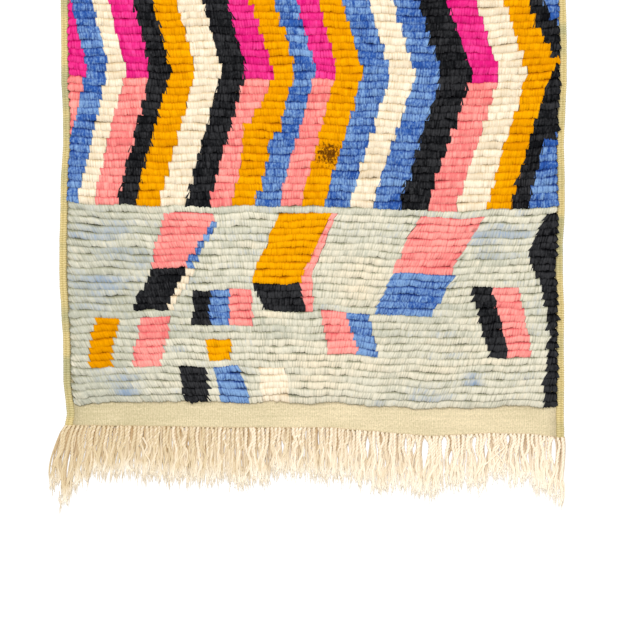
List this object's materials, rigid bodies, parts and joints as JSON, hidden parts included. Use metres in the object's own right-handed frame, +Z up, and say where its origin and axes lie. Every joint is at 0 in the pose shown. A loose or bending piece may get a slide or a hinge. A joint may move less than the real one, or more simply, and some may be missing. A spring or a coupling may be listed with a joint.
{
  "type": "moroccan runner rug",
  "caption": "Long narrow knotted wool rug lying flat, with ribbed pile, flat-woven end bands, overcast sides and a corded fringe at one end.",
  "frame": {"origin": "middle of the woven cloth's underside, on the floor, measured without the fringe", "axes": "+Z up from the floor through the pile; +Y along the runner away from the fringed end; +X across it, to the right in the picture"},
  "size_m": [0.8111, 2.5262, 0.0129],
  "materials": {
    "pale_wool": "matte undyed wool, knotted pile and flat weave",
    "straw_wool": "matte overcast wool",
    "cream_cotton": "matte plied yarn",
    "pink_wool": "matte dyed wool pile",
    "magenta_wool": "matte dyed wool pile",
    "blue_wool": "matte dyed wool pile",
    "ivory_wool": "matte wool pile",
    "black_wool": "matte dyed wool pile",
    "mustard_wool": "matte dyed wool pile"
  },
  "bodies": {
    "root": {"rug_cloth": "pale_wool", "selvedge_left": "straw_wool", "selvedge_right": "straw_wool", "fringe": "cream_cotton"}
  },
  "joints": []
}
